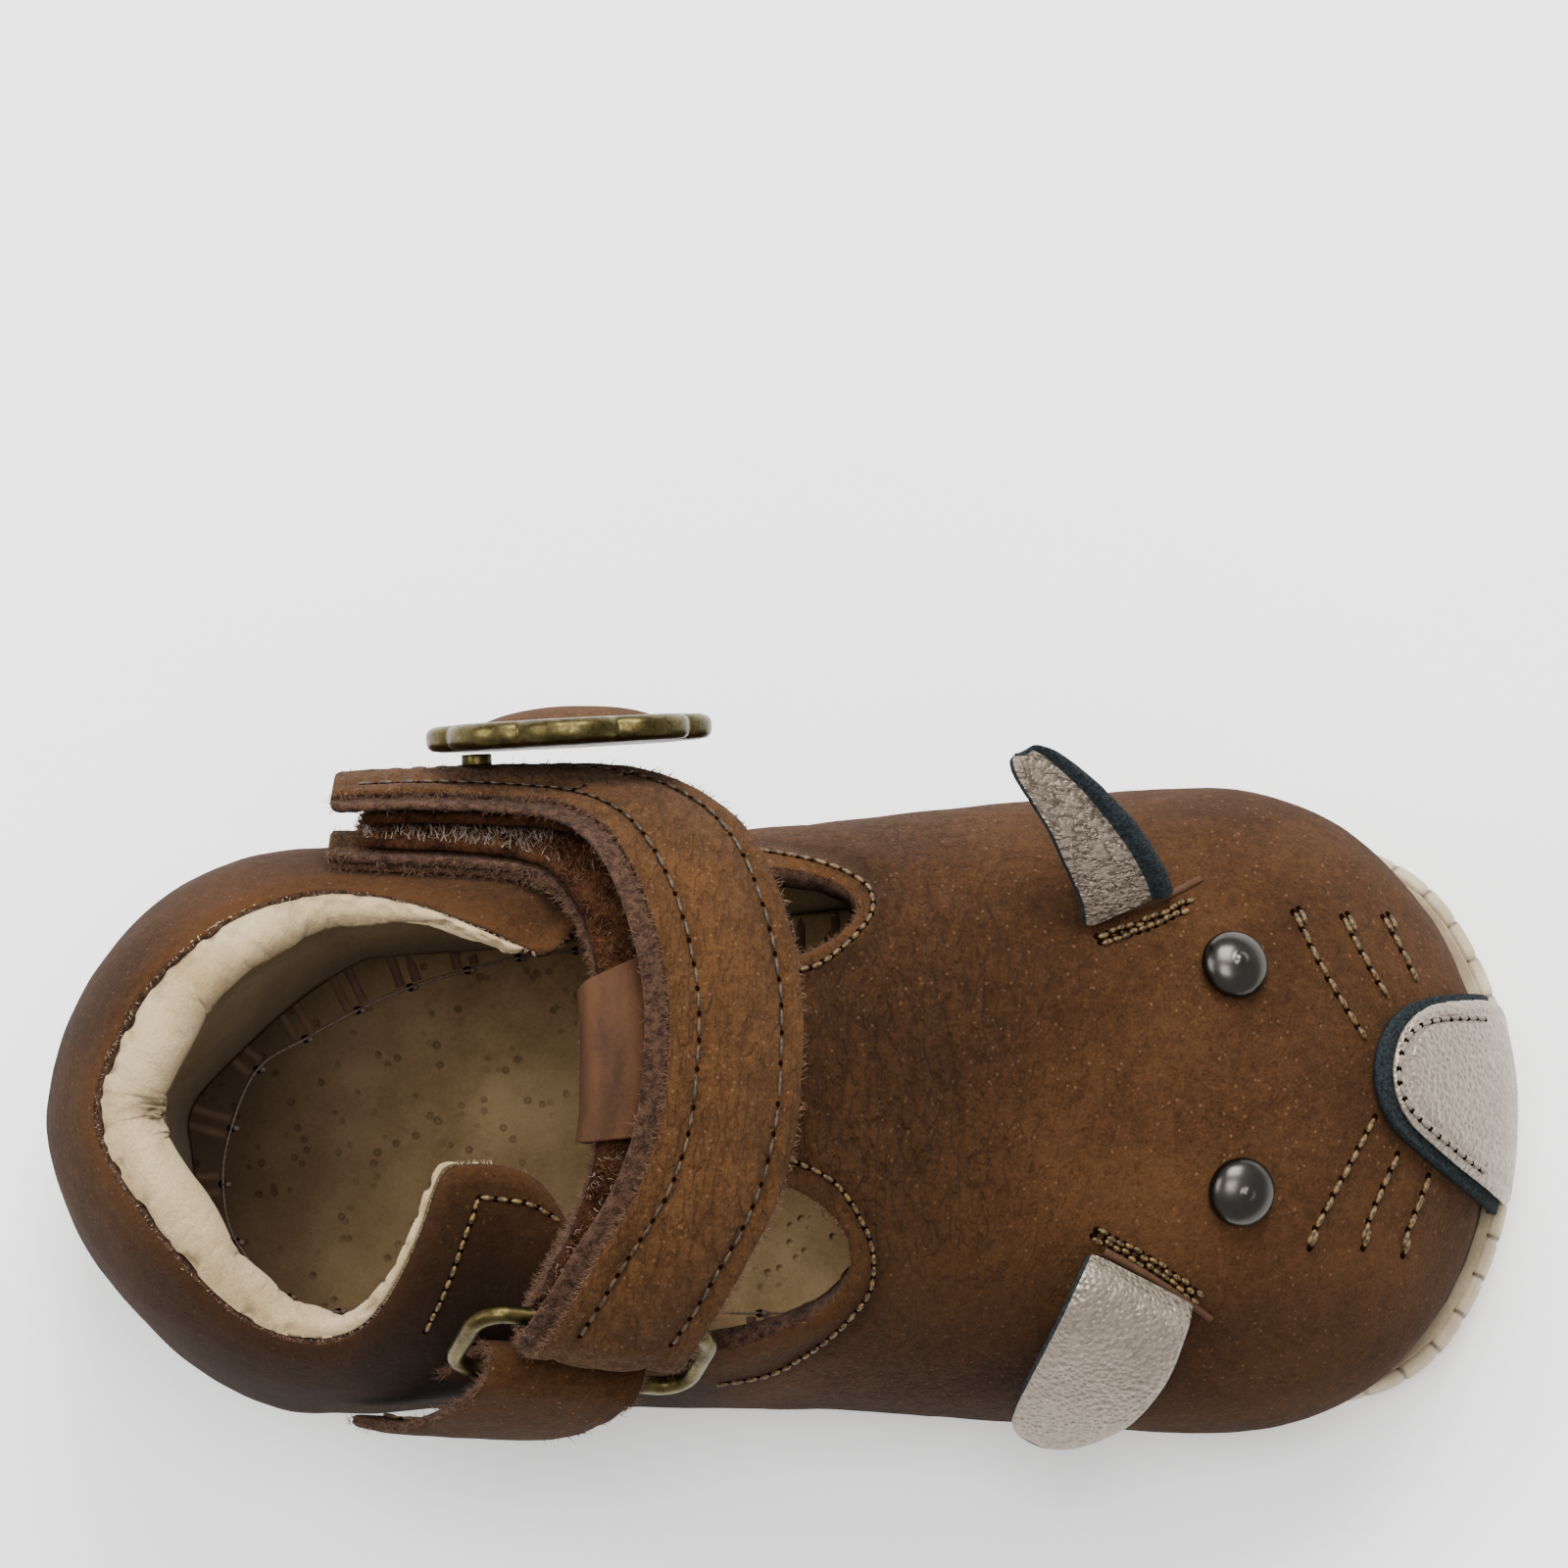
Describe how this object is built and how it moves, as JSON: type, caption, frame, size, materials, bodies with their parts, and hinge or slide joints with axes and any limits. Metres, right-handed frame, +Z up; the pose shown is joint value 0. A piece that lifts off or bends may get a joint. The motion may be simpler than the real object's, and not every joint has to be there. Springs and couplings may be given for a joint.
{
  "type": "baby t-bar shoe",
  "caption": "Baby T-bar shoe in brown nubuck with an animal face, padded collar and a ring-and-tape strap.",
  "frame": {"origin": "middle of the heel's flat rest, on the floor", "axes": "+X towards the toe, +Y towards the lateral side of this left shoe, +Z up"},
  "size_m": [0.1268, 0.0633, 0.0607],
  "materials": {
    "rubber": "matte beige rubber",
    "insole_leather": "tan pigskin with pores",
    "nubuck": "brown nubuck, short soft nap",
    "lining_leather": "cream suede lining",
    "tape_pile": "reddish-brown looped pile",
    "tape_hooks": "fine stiff hooks, pale at the tips",
    "antique_brass": "antique brass, rubbed lighter on the edges",
    "gunmetal": "polished gunmetal cap",
    "metallic_leather": "pale metallic leather with fine grain"
  },
  "bodies": {
    "root": {"outsole": "rubber", "insole": "insole_leather", "upper": "nubuck", "collar_padding": "lining_leather", "strap": "nubuck", "loop_tape": "tape_pile", "hook_tape": "tape_hooks", "t_bar_loop": "nubuck", "ring_tab": "nubuck", "ring": "antique_brass", "ornament_plate": "antique_brass", "ornament_inlay": "nubuck", "ornament_post": "antique_brass", "eye_lateral": "gunmetal", "eye_medial": "gunmetal", "ear_lateral": "metallic_leather", "ear_medial": "metallic_leather", "nose_patch": "metallic_leather"}
  },
  "joints": []
}
